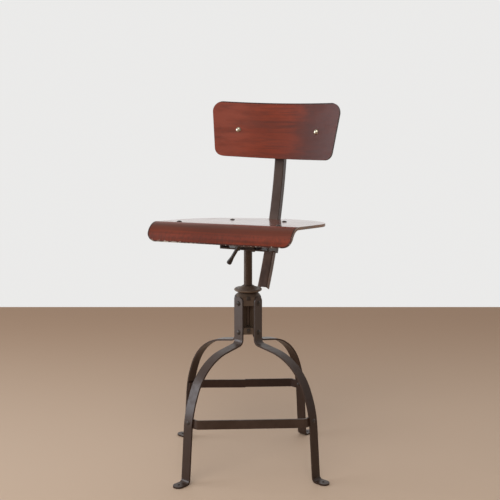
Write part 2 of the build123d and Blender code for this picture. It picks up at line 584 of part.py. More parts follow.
# ================= seat =================
def make_seat():
    """Moulded ply: flat D-shaped top, front rolled down, notch behind for the bar."""
    rear = SEAT_ROUND_Y + SEAT_WIDTH / 2
    front = -ROLL_START - ROLL_R
    inner = ROLL_R - SEAT_THICK
    low = -ROLL_R - ROLL_LIP
    with BuildPart() as body:
        with BuildSketch(Plane.YZ):
            with BuildLine():
                Line((rear, 0), (-ROLL_START, 0))
                RadiusArc((-ROLL_START, 0), (front, -ROLL_R), -ROLL_R)
                Line((front, -ROLL_R), (front, low))
                Line((front, low), (front + SEAT_THICK, low))
                Line((front + SEAT_THICK, low), (front + SEAT_THICK, -ROLL_R))
                RadiusArc((front + SEAT_THICK, -ROLL_R), (-ROLL_START, -SEAT_THICK), inner)
                Line((-ROLL_START, -SEAT_THICK), (rear, -SEAT_THICK))
                Line((rear, -SEAT_THICK), (rear, 0))
            make_face()
        extrude(amount=SEAT_WIDTH / 2, both=True)
    half = SEAT_WIDTH / 2
    plan = Pos(0, SEAT_ROUND_Y) * Circle(half) + Pos(0, (SEAT_ROUND_Y + front) / 2) * Rectangle(
        SEAT_WIDTH, SEAT_ROUND_Y - front)
    seat = body.part & extrude(plan, THROUGH, both=True)
    wall = Plane(origin=(0, -ROLL_START, 0), x_dir=(1, 0, 0), z_dir=(0, -1, 0))
    for side in (-1, 1):
        corner = Rectangle(ROLL_CORNER, ROLL_CORNER)
        corner = Pos(side * (half - ROLL_CORNER / 2), low + ROLL_CORNER / 2) * corner
        corner -= Pos(side * (half - ROLL_CORNER), low + ROLL_CORNER) * Circle(ROLL_CORNER)
        seat -= extrude(wall * corner, THROUGH)
    seat -= Pos(0, NOTCH_Y + THROUGH, 0) * Box(2 * NOTCH_HALF, 2 * THROUGH, THROUGH)
    for x, y in seat_bolt_places():
        seat -= Pos(x, y, 0) * Cylinder(SEAT_BOLT_R, THROUGH)
    return SEAT_PLANE * seat


def seat_bolt_places():
    return [(side * x, y) for side in (-1, 1) for x, y in (FRONT_BOLT, REAR_BOLT)]


def seat_bolts():
    """Dome-headed bolts through seat and strap."""
    bolts = []
    under = -SEAT_THICK - PLATE
    for x, y in seat_bolt_places():
        head = dome(Plane(origin=(x, y, 0)), SEAT_BOLT_HEAD_R, SEAT_BOLT_HEAD_H)
        shank = rod((x, y, 0), (x, y, under - NUT_H - THREAD_END), SEAT_BOLT_R)
        bolts.append(SEAT_PLANE * (head + shank))
    return bolts


def seat_nuts():
    under = -SEAT_THICK - PLATE
    return [SEAT_PLANE * hex_nut(Plane(origin=(x, y, under), z_dir=(0, 0, -1)), NUT_FLATS, NUT_H, SEAT_BOLT_R)
            for x, y in seat_bolt_places()]


# ================= back =================
def make_back_bar():
    """Folded channel bent to an arc, open at the back, drilled for the pivot near its top."""
    low = degrees(asin((BAR_LOW_Z - ARC_CENTRE[1]) / ARC_R))
    pivot = degrees(asin((PIVOT_Z - ARC_CENTRE[1]) / (ARC_R + PIVOT_DEPTH)))
    high = pivot + degrees(BAR_ABOVE_PIVOT / ARC_R)
    outer = Pos(0, ARC_R + CHANNEL_D / 2 + 2) * RectangleRounded(CHANNEL_W, CHANNEL_D + 4, CHANNEL_ROUND)
    outer &= Pos(0, ARC_R + CHANNEL_D / 2) * Rectangle(CHANNEL_W, CHANNEL_D)
    inner = Pos(0, ARC_R + CHANNEL_D / 2 + CHANNEL_T) * Rectangle(CHANNEL_W - 2 * CHANNEL_T, CHANNEL_D)
    bar = revolve(outer - inner, axis=Axis.X, revolution_arc=high - low)
    bar = Pos(0, *ARC_CENTRE) * Rot(low, 0, 0) * bar
    pin = pivot_point()
    bar -= rod((-THROUGH, pin.Y, pin.Z), (THROUGH, pin.Y, pin.Z), PIVOT_R)
    return bar


def pivot_point():
    radius = ARC_R + PIVOT_DEPTH
    angle = asin((PIVOT_Z - ARC_CENTRE[1]) / radius)
    return Vector(0, ARC_CENTRE[0] + radius * cos(angle), PIVOT_Z)


def pivot_pin():
    """Pin through both flanges and ears, headed at one end."""
    pin = pivot_point()
    outside = CHANNEL_W / 2 + EAR_GAP + EAR + EAR_GAP
    shank = rod((-outside - NUT_H - THREAD_END, pin.Y, pin.Z), (outside, pin.Y, pin.Z), PIVOT_R)
    head = rod((outside, pin.Y, pin.Z), (outside + PIVOT_HEAD[1], pin.Y, pin.Z), PIVOT_HEAD[0])
    return shank + chamfer(head.edges().filter_by(GeomType.CIRCLE).sort_by(Axis.X)[-1], EDGE)


def pivot_nut():
    pin = pivot_point()
    outside = CHANNEL_W / 2 + EAR_GAP + EAR + EAR_GAP
    return hex_nut(Plane(origin=(-outside, pin.Y, pin.Z), z_dir=(-1, 0, 0)), PIVOT_NUT_FLATS, NUT_H, PIVOT_R)


def curved_sheet(inner, thick, half_arc):
    """Upright cylindrical sheet, concave to -Y, its inner face touching the origin."""
    height = 4 * THROUGH
    outer = Cylinder(inner + thick, height) - Cylinder(inner, height)
    return Pos(0, -inner, 0) * (outer & Pos(0, inner, 0) * Box(2 * half_arc, inner, height))


def make_backrest():
    """Ply panel bent about an upright axis, wider at the top, all corners rounded."""
    sheet = curved_sheet(BACK_CURVE_R, BACK_THICK, BACK_TOP_HALF + BACK_THICK)
    half = BACK_HEIGHT / 2
    with BuildSketch(Plane.XZ) as face:
        with BuildLine():
            Polyline((-BACK_LOW_HALF, -half), (BACK_LOW_HALF, -half), (BACK_TOP_HALF, half),
                     (-BACK_TOP_HALF, half), close=True)
        make_face()
        fillet(face.vertices().group_by(Axis.Y)[-1], BACK_ROUND_TOP)
        fillet(face.vertices().group_by(Axis.Y)[0], BACK_ROUND_LOW)
    outline = Pos(BACK_SHIFT[0], 0, BACK_SHIFT[1]) * Rot(0, BACK_ROLL, 0) * face.sketch
    panel = sheet & extrude(outline, 2 * THROUGH, both=True)
    for plane in back_bolt_planes():
        panel -= plane * Cylinder(BACK_BOLT_R, THROUGH)
    return BACK_PLANE * panel


def back_bolt_planes():
    """Planes on the panel's front face at the bolts, normals towards the sitter."""
    angle = asin(BACK_BOLT_X / BACK_CURVE_R)
    y = BACK_CURVE_R * cos(angle) - BACK_CURVE_R
    drop = BACK_BOLT_X * sin(radians(BACK_ROLL))
    return [Plane(origin=(side * BACK_BOLT_X, y, BACK_BOLT_UP - side * drop), x_dir=(0, 0, 1),
                  z_dir=(-side * sin(angle), -cos(angle), 0)) for side in (-1, 1)]


def back_bolts():
    bolts = []
    length = BACK_THICK + CROSS_STRAP[2] + NUT_H + THREAD_END
    head_gap = BACK_BOLT_HEAD_R ** 2 / 2 / BACK_CURVE_R
    for plane in back_bolt_planes():
        head = dome(plane.offset(head_gap), BACK_BOLT_HEAD_R, BACK_BOLT_HEAD_H)
        shank = plane * Pos(0, 0, -length / 2 + EDGE / 2) * Cylinder(BACK_BOLT_R, length + EDGE)
        bolts.append(BACK_PLANE * (head + shank))
    return bolts


def back_nuts():
    nuts = []
    for plane in back_bolt_planes():
        depth = BACK_THICK + CROSS_STRAP[2] + BRACKET_GAP
        seat = Plane(origin=plane.origin - plane.z_dir * depth, z_dir=-plane.z_dir)
        nuts.append(BACK_PLANE * hex_nut(seat, NUT_FLATS, NUT_H, BACK_BOLT_R))
    return nuts


def make_cross_strap():
    """Curved flat strap behind the panel from bolt to bolt."""
    half, height, thick = CROSS_STRAP
    sheet = Pos(0, BACK_THICK, 0) * curved_sheet(BACK_CURVE_R + BACK_THICK, thick, half + height)
    face = Plane.XZ * Pos(0, BACK_BOLT_UP) * Rot(0, 0, -BACK_ROLL) * SlotOverall(2 * half, height)
    strap = sheet & extrude(face, THROUGH, both=True)
    for plane in back_bolt_planes():
        strap -= plane * Cylinder(BACK_BOLT_R, THROUGH)
    for x in (-BRACKET_RIVET_X, BRACKET_RIVET_X):
        strap -= Pos(x, 0, BACK_BOLT_UP) * Rot(90, 0, 0) * Cylinder(BRACKET_RIVET_R, THROUGH)
    return BACK_PLANE * strap


def make_pivot_bracket():
    """Plate riveted behind the strap, with two ears either side of the bar."""
    behind = BACK_THICK + CROSS_STRAP[2]
    pin = BACK_PLANE.to_local_coords(pivot_point())
    half_in = CHANNEL_W / 2 + EAR_GAP
    half_out = half_in + EAR
    depth = pin.Y + EAR_HEIGHT / 2 - behind
    height = BRACKET_LOW + BRACKET_HIGH
    mid = (BRACKET_HIGH - BRACKET_LOW) / 2
    bracket = Pos(0, behind + EAR / 2 + BRACKET_GAP, mid) * Box(2 * half_out, EAR, height)
    for side in (-1, 1):
        ear = Box(EAR, depth, EAR_HEIGHT)
        bracket += Pos(side * (half_in + EAR / 2), behind + BRACKET_GAP + depth / 2, 0) * ear
    bracket -= Pos(0, pin.Y, pin.Z) * Rot(0, 90, 0) * Cylinder(PIVOT_R + RUNNING, THROUGH)
    for x in (-BRACKET_RIVET_X, BRACKET_RIVET_X):
        bracket -= Pos(x, 0, BACK_BOLT_UP) * Rot(90, 0, 0) * Cylinder(BRACKET_RIVET_R, THROUGH)
    return BACK_PLANE * bracket


def bracket_rivets():
    """Two flush rivets that hold the pivot bracket to the strap."""
    behind = BACK_THICK + BRACKET_GAP
    length = CROSS_STRAP[2] + EAR
    return [BACK_PLANE * rod((x, behind, BACK_BOLT_UP), (x, behind + length, BACK_BOLT_UP), BRACKET_RIVET_R)
            for x in (-BRACKET_RIVET_X, BRACKET_RIVET_X)]


# ================= write the nodes =================
LEG_NAMES = {-45: "leg_front_left", 45: "leg_rear_left", 135: "leg_rear_right", 225: "leg_front_right"}
leg = make_leg()
for leg_angle, leg_name in LEG_NAMES.items():
    save(leg_name, turned(leg, leg_angle + BASE_YAW))

save("hub", turned(make_hub(), BASE_YAW))
save("upper_hub_rivets", *hub_rivets(UPPER_RIVET_Z))
save("lower_hub_rivets", *hub_rivets(LOWER_RIVET_Z))
save("upper_set_screw", set_screw(UPPER_SET_SCREW_Z))
save("lower_set_screw", set_screw(LOWER_SET_SCREW_Z))
save("footrest_bar_front", turned(make_bar(0), BASE_YAW))
save("footrest_bar_rear", turned(make_bar(BAR_KINK), BASE_YAW + 180))
save("footrest_rivets", *footrest_rivets())
save("clamp_collet", turned(make_collet(), BASE_YAW))
save("clamp_wheel", make_wheel())
save("column", make_column())

save("column_head", make_head())
save("head_screws", *head_screws())
save("seat_saddle", make_saddle())
save("seat_strap_left", make_strap(1))
save("seat_strap_right", make_strap(-1))
save("saddle_bolts", *saddle_bolts())
save("back_bar_bracket", make_bar_bracket())
save("guide_screw", guide_screw())
save("clamp_screw", make_clamp_screw())
save("clamp_lever", make_lever())
save("seat", make_seat())
save("seat_bolts", *seat_bolts())
save("seat_nuts", *seat_nuts())

save("back_bar", make_back_bar())
save("pivot_pin", pivot_pin())
save("pivot_nut", pivot_nut())
save("backrest", make_backrest())
save("backrest_bolts", *back_bolts())
save("backrest_nuts", *back_nuts())
save("cross_strap", make_cross_strap())
save("pivot_bracket", make_pivot_bracket())
save("bracket_rivets", *bracket_rivets())
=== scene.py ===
"""Drafting chair in a pale studio: worn dark iron, stained and lacquered ply. Units are metres."""
import json
from math import cos, hypot, pi, radians, sin

import bmesh
import bpy
from mathutils import Matrix, Vector

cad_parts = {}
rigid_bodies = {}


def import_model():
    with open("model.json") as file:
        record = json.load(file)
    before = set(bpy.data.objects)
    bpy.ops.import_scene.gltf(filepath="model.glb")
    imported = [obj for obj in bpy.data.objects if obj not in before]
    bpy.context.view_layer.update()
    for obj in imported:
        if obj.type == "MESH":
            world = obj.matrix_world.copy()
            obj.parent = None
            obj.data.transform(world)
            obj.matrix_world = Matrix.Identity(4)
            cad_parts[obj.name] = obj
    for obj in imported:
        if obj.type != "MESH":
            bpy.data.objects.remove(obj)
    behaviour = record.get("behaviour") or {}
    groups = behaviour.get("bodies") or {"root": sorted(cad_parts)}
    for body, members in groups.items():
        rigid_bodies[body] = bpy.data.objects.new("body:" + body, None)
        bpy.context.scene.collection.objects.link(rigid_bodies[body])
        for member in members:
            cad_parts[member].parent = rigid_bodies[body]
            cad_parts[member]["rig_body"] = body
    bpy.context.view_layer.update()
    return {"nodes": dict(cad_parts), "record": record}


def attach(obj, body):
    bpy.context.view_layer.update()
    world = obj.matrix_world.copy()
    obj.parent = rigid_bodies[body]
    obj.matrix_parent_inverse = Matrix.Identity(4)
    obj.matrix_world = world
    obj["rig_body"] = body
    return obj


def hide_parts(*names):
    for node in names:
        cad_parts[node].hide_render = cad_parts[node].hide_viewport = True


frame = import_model()

# ---- viewpoint ----
VIEW_AZIMUTH = radians(26.0)     # camera to the sitter's left of straight ahead
VIEW_PITCH = radians(8.72)       # camera looks down by this
VIEW_DISTANCE = 2.49             # from the column's axis
VIEW_HEIGHT = 1.0
VIEW_SIDE = 0.0056               # camera stands this far to its own right
VIEW_LENS = 63.9                 # millimetres, on the sensor below
VIEW_SENSOR = 36.0

# ---- seat and back, where the ply's own surface lies ----
SEAT_ORIGIN = Vector((0, 0, 0.6987))
SEAT_TURN = Matrix.Rotation(radians(-3.8), 3, "X") @ Matrix.Rotation(radians(-0.9), 3, "Y")
SEAT_HALF = 0.215                # half the seat's width
SEAT_THICK = 0.008
ROLL_START = -0.143              # the flat ends here, in the seat's own frame
ROLL_R = 0.047
ROLL_LIP = 0.006                 # straight lip below the roll
ROLL_CORNER = 0.026              # radius of the roll's lower corners
BACK_ORIGIN = Vector((0, 0.203, 0.9467))
BACK_TILT = radians(8.5)
BACK_ROLL = radians(1.1)         # the panel hangs lower at the sitter's left by this
BACK_CURVE_R = 0.673
BACK_RIM_UP = 0.0855             # the panel's upper rim above BACK_ORIGIN
BACK_THICK = 0.009

# ---- where wear, stain, painted light and painted shade change, from one place to the other ----
BAR_PALE_Z = 0.70                 # the back bar is painted paler from about here downwards, painted light against the seat's shadow
BAR_PALE_DEPTH = (-0.02, 0.06)          # below the height on the line above
LEG_BROWN = (0.20, 0.38)         # height over the floor
LEG_SHEEN = (0.30, 0.42)          # height over the floor, where a painted sheen greys the legs
LIP_LINE = (0.0022, 0.0052)      # inwards from the roll's outline
CHIP_START = 0.06                # chips begin this far to the sitter's left
CHIP_RUN = 0.26                  # and are widest this far to the right of that
CHIP_WIDTH = (0.0012, 0.0048)
CHIP_FADE = (-0.045, -0.030)     # height on the roll, under the flat
ROLL_SHADE = (-0.034, -0.006)     # height on the roll, under the flat, of the painted shade on its upper part
ROLL_SHADE_FADE = (-0.005, 0.0)         # height on the roll, under the flat, where that painted shade fades out
WORN_LIP = (0.044, 0.052)        # below the flat
WORN_SIDE = (-0.05, 0.20)        # to the sitter's right
GLINT_END_X = 0.19                # the roll's end at the sitter's left, where a pale line on the rim is a painted highlight
GLINT_END_Z = (-0.042, -0.020)
PATCH_GREY_REFLECTION = (0.015, 0.13)       # to the sitter's left of the panel's middle, for a darker patch whose grey is a painted reflection
PATCH_LIGHT = (0.03, 0.14)        # to the sitter's right of the panel's middle, for a paler patch that is partly painted light
RIM_LINE = (-0.0050, -0.0020)    # above the panel's upper rim

# ---- editing the meshes ----
WELD = 2e-6                      # points nearer than this are one
FLAT = radians(0.3)              # faces that differ by less are one
SHARP = radians(28.0)            # edges sharper than this are rounded
IRON_STEPS = 2                   # faces across a rounded edge
PLY_STEPS = 3
PLY_ROUNDING = 0.0018
CUT_EDGE = 0.45                  # cosine to the sheet's direction; a cut edge has less
SHADING_WEIGHT = 60

# ---- studio ----
FLOOR_FRONT, FLOOR_WALL, FLOOR_SIDE = -4.0, 2.06, 4.0   # how far the floor goes
FLOOR_NEAR_COLOUR = (0.60, 0.437, 0.316)
FLOOR_FAR_COLOUR = (0.42, 0.25, 0.146)
WALL_LEVEL = 0.83                # brightness that the eye sees
ROOM_LEVELS = (0.22, 0.84)       # brightness that lights the chair, from dark to lit side
LIGHT_AIM = Vector((0, 0, 0.5))

TOWARDS_WALL = Vector((-sin(VIEW_AZIMUTH), cos(VIEW_AZIMUTH), 0))
RIGHT = Vector((cos(VIEW_AZIMUTH), sin(VIEW_AZIMUTH), 0))
UP = Vector((0, 0, 1))


# ================= materials =================
class Paint:
    """One material's node tree, with the few nodes that the materials here are made of."""

    def __init__(self, name):
        self.material = bpy.data.materials.new(name)
        self.material.use_nodes = True
        self.tree = self.material.node_tree
        self.shader = self.tree.nodes["Principled BSDF"]
        self.place = self.tree.nodes.new("ShaderNodeTexCoord").outputs["Object"]

    def put(self, socket, value):
        if isinstance(value, bpy.types.NodeSocket):
            self.tree.links.new(value, socket)
        else:
            socket.default_value = value

    def set(self, **values):
        for key, value in values.items():
            self.put(self.shader.inputs[key.replace("_", " ")], value)

    def noise(self, scale, stretch=(1, 1, 1), detail=3.0, roughness=0.55, shift=0.0):
        """Noise from 0 to 1; scale is in features per metre, stretched along the axes."""
        mapping = self.tree.nodes.new("ShaderNodeMapping")
        self.put(mapping.inputs["Vector"], self.place)
        mapping.inputs["Scale"].default_value = stretch
        mapping.inputs["Location"].default_value = (shift, shift, shift)
        node = self.tree.nodes.new("ShaderNodeTexNoise")
        self.put(node.inputs["Vector"], mapping.outputs["Vector"])
        node.inputs["Scale"].default_value = scale
        node.inputs["Detail"].default_value = detail
        node.inputs["Roughness"].default_value = roughness
        return node.outputs["Fac"]

    def span(self, value, low, high, out_low=0.0, out_high=1.0):
        """Smooth step of a value from low to high, written out between two levels."""
        node = self.tree.nodes.new("ShaderNodeMapRange")
        node.interpolation_type = "SMOOTHSTEP"
        self.put(node.inputs["Value"], value)
        limits = {"From Min": low, "From Max": high, "To Min": out_low, "To Max": out_high}
        for key, number in limits.items():
            node.inputs[key].default_value = number
        return node.outputs["Result"]

    def math(self, operation, a, b=0.0):
        node = self.tree.nodes.new("ShaderNodeMath")
        node.operation = operation
        self.put(node.inputs[0], a)
        self.put(node.inputs[1], b)
        return node.outputs[0]

    def mix(self, share, a, b):
        """Colour a where share is 0, b where it is 1."""
        node = self.tree.nodes.new("ShaderNodeMix")
        node.data_type = "RGBA"
        self.put(node.inputs[0], share)
        for socket, colour in ((node.inputs[6], a), (node.inputs[7], b)):
            self.put(socket, (*colour, 1.0) if isinstance(colour, tuple) else colour)
        return node.outputs[2]

    def mark(self, name):
        """A number kept on the mesh's points."""
        node = self.tree.nodes.new("ShaderNodeAttribute")
        node.attribute_name = name
        return node.outputs["Fac"]

    def along(self, origin, direction):
        """Metres from a point along a direction."""
        offset = self.tree.nodes.new("ShaderNodeVectorMath")
        offset.operation = "SUBTRACT"
        self.put(offset.inputs[0], self.place)
        offset.inputs[1].default_value = origin
        node = self.tree.nodes.new("ShaderNodeVectorMath")
        node.operation = "DOT_PRODUCT"
        self.put(node.inputs[0], offset.outputs[0])
        node.inputs[1].default_value = direction
        return node.outputs["Value"]

    def bump(self, height, strength, distance):
        node = self.tree.nodes.new("ShaderNodeBump")
        node.inputs["Strength"].default_value = strength
        node.inputs["Distance"].default_value = distance
        self.put(node.inputs["Height"], height)
        self.put(self.shader.inputs["Normal"], node.outputs["Normal"])


BARE_GAIN = 2.6          # rubbed iron is paler than the rest by this factor
PLY_DIM = 0.55           # stained patches of a cut edge are darker by this factor
PLY_DARK = (0.098, 0.022, 0.012)
PLY_MIDDLE = (0.186, 0.028, 0.011)
PLY_WARM = (0.268, 0.042, 0.015)
PLY_PORES = (0.045, 0.012, 0.009)
PLY_CHIPS = (0.47, 0.40, 0.33)
EDGE_CHIPS = (0.50, 0.41, 0.32)
POLISH = 0.24            # the polished flat is smoother by this
CHIP_NOISE = {"scale": 150, "detail": 6, "roughness": 0.7, "shift": 1}
CHIPPED = (0.47, 0.56)   # from whole to chipped, as a level of that noise


def dimmed(colour):
    return tuple(PLY_DIM * c for c in colour)


def iron(name, steel, patina, rust, roughness, metal, grain=0.0002, wear=0.4, over=None):
    """Old dark iron: a brown patina over steel, a few rust specks, rubbed edges.

    grain is the relief's height, wear how bare the rubbed edges are, and over may change the
    colour with the place on the piece.
    """
    paint = Paint(name)
    broad = paint.span(paint.noise(11, detail=4), 0.34, 0.68)
    patches = paint.span(paint.noise(55, detail=6, roughness=0.6, shift=3), 0.36, 0.70)
    fine = paint.noise(420, detail=4, roughness=0.7, shift=7)
    specks = paint.span(paint.noise(190, detail=5, roughness=0.75, shift=11), 0.62, 0.76)
    colour = paint.mix(broad, steel, patina)
    colour = paint.mix(paint.math("MULTIPLY", patches, 0.45), colour, patina)
    colour = paint.mix(paint.math("MULTIPLY", specks, 0.5), colour, rust)
    touched = paint.span(paint.noise(90, detail=5, shift=5), 0.40, 0.66)
    rubbed = paint.math("MULTIPLY", paint.mark("edge"), touched)
    bare = tuple(min(1.0, BARE_GAIN * c) for c in steel)
    colour = paint.mix(paint.math("MULTIPLY", rubbed, wear), colour, bare)
    if over:
        colour = over(paint, colour)
    shine = paint.span(patches, 0, 1, roughness - 0.05, roughness + 0.06)
    shine = paint.math("SUBTRACT", shine, paint.math("MULTIPLY", rubbed, 0.1))
    paint.set(Base_Color=colour, Metallic=metal, Roughness=shine, Specular_IOR_Level=0.45)
    relief = paint.math("ADD", paint.math("MULTIPLY", patches, 0.35),
                        paint.math("MULTIPLY", fine, 0.5))
    paint.bump(relief, 0.35, grain)
    return paint.material


def paler_below_painted_light(paint, colour):
    """The back bar's lower end is painted paler, as painted light that lifts it out of the seat's
    shadow.
    """
    down = paint.along(UP * BAR_PALE_Z, -UP)
    patches = paint.noise(35, stretch=(1, 1, 0.4), detail=5, shift=15)
    share = paint.math("MULTIPLY", paint.span(down, *BAR_PALE_DEPTH),
                       paint.span(patches, 0.30, 0.62, 0.35, 1.0))
    return paint.mix(share, colour, (0.190, 0.112, 0.082))


def leg_sheen_and_tone(paint, colour):
    """The legs are greyer at the hub, which is a painted sheen, and darker and browner towards the
    floor.
    """
    height = paint.along(Vector((0, 0, 0)), UP)
    # painted sheen: the legs greyer near the hub
    colour = paint.mix(paint.span(height, *LEG_SHEEN, 0.0, 0.8), colour, (0.098, 0.074, 0.066))
    return paint.mix(paint.span(height, *LEG_BROWN, 0.78, 0.0), colour, (0.034, 0.014, 0.007))


def plated(name, colour, tarnish, roughness):
    """Plated bolt head, dulled in patches."""
    paint = Paint(name)
    dull = paint.span(paint.noise(260, detail=5), 0.42, 0.66)
    paint.set(Base_Color=paint.mix(dull, colour, tarnish), Metallic=1.0,
              Roughness=paint.span(dull, 0, 1, roughness, roughness + 0.2))
    paint.bump(paint.noise(700, detail=3), 0.25, 0.0002)
    return paint.material


def stained_ply(name, rim, rim_share, polished=False, shade=None, worn=None, border=None):
    """Red-brown stained beech face under worn lacquer, the grain along X.

    The rim has its own colour. shade gives a share and a tint, border changes the colour near an
    outline, and worn gives the places where the stain is chipped off.
    """
    paint = Paint(name)
    clouds = paint.span(paint.noise(6, stretch=(0.7, 1, 1.3), detail=5), 0.36, 0.66)
    bands = paint.noise(8, stretch=(0.30, 5, 5), detail=4, roughness=0.6, shift=2)
    bands = paint.span(bands, 0.38, 0.66)
    streaks = paint.noise(38, stretch=(0.08, 5, 5), detail=5, roughness=0.65, shift=4)
    pores = paint.noise(160, stretch=(0.05, 5, 5), detail=3, roughness=0.7, shift=9)
    colour = paint.mix(clouds, PLY_MIDDLE, PLY_WARM)
    colour = paint.mix(paint.math("MULTIPLY", bands, 0.35), colour, PLY_DARK)
    colour = paint.mix(paint.span(streaks, 0.44, 0.70, 0.0, 0.6), colour, PLY_DARK)
    colour = paint.mix(paint.span(pores, 0.58, 0.74, 0.0, 0.4), colour, PLY_PORES)
    if shade:
        share, tint = shade(paint)
        colour = paint.mix(share, colour, tint)
    if border:
        colour = border(paint, colour)
    colour = paint.mix(paint.math("MULTIPLY", paint.mark("edge"), rim_share), colour, rim)
    chips = paint.noise(**CHIP_NOISE)
    # the wear mark holds chips, and a painted highlight at the seat roll's end
    bare = paint.math("MULTIPLY", paint.mark("wear"), paint.span(chips, *CHIPPED))
    if worn:
        bare = paint.math("MAXIMUM", bare, worn(paint, chips))
    colour = paint.mix(bare, colour, PLY_CHIPS)
    marks = paint.noise(30, stretch=(0.4, 1, 1), detail=6, roughness=0.7, shift=6)
    marks = paint.span(marks, 0.40, 0.75)
    smooth = POLISH if polished else 0.0
    dull = paint.span(marks, 0, 1, 0.38 - smooth, 0.50 - smooth)
    dull = paint.math("ADD", dull, paint.math("MULTIPLY", bare, 0.3))
    paint.set(Base_Color=colour, Roughness=dull, Specular_IOR_Level=0.5 if polished else 0.22,
              Coat_Weight=0.5 if polished else 0.09, Coat_Roughness=0.36 - smooth, Coat_IOR=1.45)
    relief = paint.math("ADD", paint.math("MULTIPLY", streaks, 0.7),
                        paint.math("MULTIPLY", pores, 0.5))
    paint.bump(relief, 0.12, 0.0003)
    return paint.material


def from_outline(paint):
    """Distance inwards from the roll's ends, rounded lower corners and lower rim."""
    up = paint.along(SEAT_ORIGIN - SEAT_TURN.col[2] * (ROLL_R + ROLL_LIP), SEAT_TURN.col[2])
    side = paint.math("ABSOLUTE", paint.along(SEAT_ORIGIN, SEAT_TURN.col[0]))
    past = paint.math("MAXIMUM", paint.math("SUBTRACT", side, SEAT_HALF - ROLL_CORNER), 0.0)
    low = paint.math("MAXIMUM", paint.math("SUBTRACT", ROLL_CORNER, up), 0.0)
    reach = paint.math("ADD", paint.math("MULTIPLY", past, past), paint.math("MULTIPLY", low, low))
    return paint.math("SUBTRACT", ROLL_CORNER, paint.math("SQRT", reach))


def dark_lip(paint, colour):
    """Dark line along the roll's ends and lower rim."""
    line = paint.span(from_outline(paint), *LIP_LINE, 0.8, 0.0)
    return paint.mix(line, colour, (0.024, 0.011, 0.009))


def lower_rim(paint, chips):
    """Chips along the roll's lower rim, widest at the sitter's right."""
    right = paint.along(SEAT_ORIGIN + SEAT_TURN.col[0] * CHIP_START, -SEAT_TURN.col[0])
    reach = paint.span(right, 0.0, CHIP_RUN, *CHIP_WIDTH)
    up = paint.along(SEAT_ORIGIN, SEAT_TURN.col[2])
    reach = paint.math("MULTIPLY", reach, paint.span(up, *CHIP_FADE, 1.0, 0.0))
    near = paint.math("SUBTRACT", reach, from_outline(paint))
    near = paint.math("ADD", paint.math("MULTIPLY", near, 110.0),
                      paint.math("MULTIPLY", chips, 3.4))
    return paint.span(near, 1.85, 2.15)


def roll_scratches_and_painted_shade(paint):
    """The roll is mottled by fine upright scratches, and darker in its upper part, which is
    painted shade.
    """
    up = paint.along(SEAT_ORIGIN, SEAT_TURN.col[2])
    scratches = paint.noise(170, stretch=(1, 1, 0.3), detail=5, roughness=0.7, shift=14)
    scratches = paint.span(scratches, 0.40, 0.66, 0.02, 0.42)
    # painted shade: the roll's upper part darker
    dark = paint.math("MULTIPLY", paint.span(up, *ROLL_SHADE, 0.0, 0.66),
                      paint.span(up, *ROLL_SHADE_FADE, 1.0, 0.2))
    return paint.math("MAXIMUM", dark, scratches), (0.054, 0.019, 0.009)


def back_reflection_and_streaks(paint):
    """A broad darker, greyer patch at the sitter's left of the panel, whose grey is a painted
    reflection, and dark streaks all over it.
    """
    left = paint.along(BACK_ORIGIN, Vector((1, 0, 0)))
    uneven = paint.span(paint.noise(9, detail=4, shift=12), 0.3, 0.7, -0.03, 0.03)
    left = paint.math("ADD", left, uneven)
    streaks = paint.noise(12, stretch=(0.16, 3.5, 3.5), detail=6, roughness=0.66, shift=18)
    # painted reflection: the greyer patch at the sitter's left
    level = paint.math("MAXIMUM", paint.span(left, *PATCH_GREY_REFLECTION, 0.0, 0.74),
                       paint.span(streaks, 0.48, 0.64, 0.0, 0.55))
    return level, (0.062, 0.020, 0.014)


def light_patch_and_rim_line(paint, colour):
    """A paler patch at the panel's right, partly the ply's own tone and partly painted light, and
    a dark line along its upper rim.
    """
    right = paint.along(BACK_ORIGIN, Vector((-1, 0, 0)))
    grain = paint.noise(9, stretch=(0.12, 5, 5), detail=4, shift=21)
    grain = paint.span(grain, 0.36, 0.64, 0.30, 0.75)
    # partly painted light: the paler patch at the panel's right
    pale = paint.math("MULTIPLY", paint.span(right, *PATCH_LIGHT), grain)
    colour = paint.mix(pale, colour, (0.320, 0.066, 0.036))
    up = Vector((sin(BACK_ROLL), sin(BACK_TILT), cos(BACK_TILT)))
    line = paint.span(paint.along(BACK_ORIGIN + up * BACK_RIM_UP, up), *RIM_LINE, 0.0, 0.85)
    return paint.mix(line, colour, (0.022, 0.011, 0.009))


def ply_edge(name, plies, thickness, pale, deep):
    """Cut edge of the ply: thin layers, pale and deep in turn, under rubbed stain."""
    paint = Paint(name)
    depth = paint.math("MULTIPLY", paint.mark("depth"), pi * plies / thickness)
    waver = paint.math("MULTIPLY", paint.noise(60, detail=3), 1.6)
    layers = paint.span(paint.math("SINE", paint.math("ADD", depth, waver)), -0.5, 0.5)
    stain = paint.span(paint.noise(40, detail=5, shift=8), 0.36, 0.66)
    colour = paint.mix(layers, paint.mix(stain, deep, dimmed(deep)),
                       paint.mix(stain, pale, dimmed(pale)))
    chips = paint.span(paint.noise(**CHIP_NOISE), *CHIPPED)
    # the wear mark holds chips, and a painted highlight at the seat roll's end
    colour = paint.mix(paint.math("MULTIPLY", paint.mark("wear"), chips), colour, EDGE_CHIPS)
    paint.set(Base_Color=colour, Roughness=paint.span(stain, 0, 1, 0.62, 0.42))
    relief = paint.math("ADD", layers, paint.noise(500, detail=3))
    paint.bump(relief, 0.35, 0.0003)
    return paint.material


STEEL, PATINA, RUST = (0.068, 0.040, 0.029), (0.046, 0.023, 0.014), (0.075, 0.036, 0.022)
CAST_RUST = (0.085, 0.050, 0.032)
IRON = iron("worn_flat_iron", STEEL, PATINA, RUST, 0.37, metal=0.15)
LEG_IRON = iron("worn_leg_iron_painted_sheen", STEEL, PATINA, RUST, 0.37, metal=0.15, over=leg_sheen_and_tone)
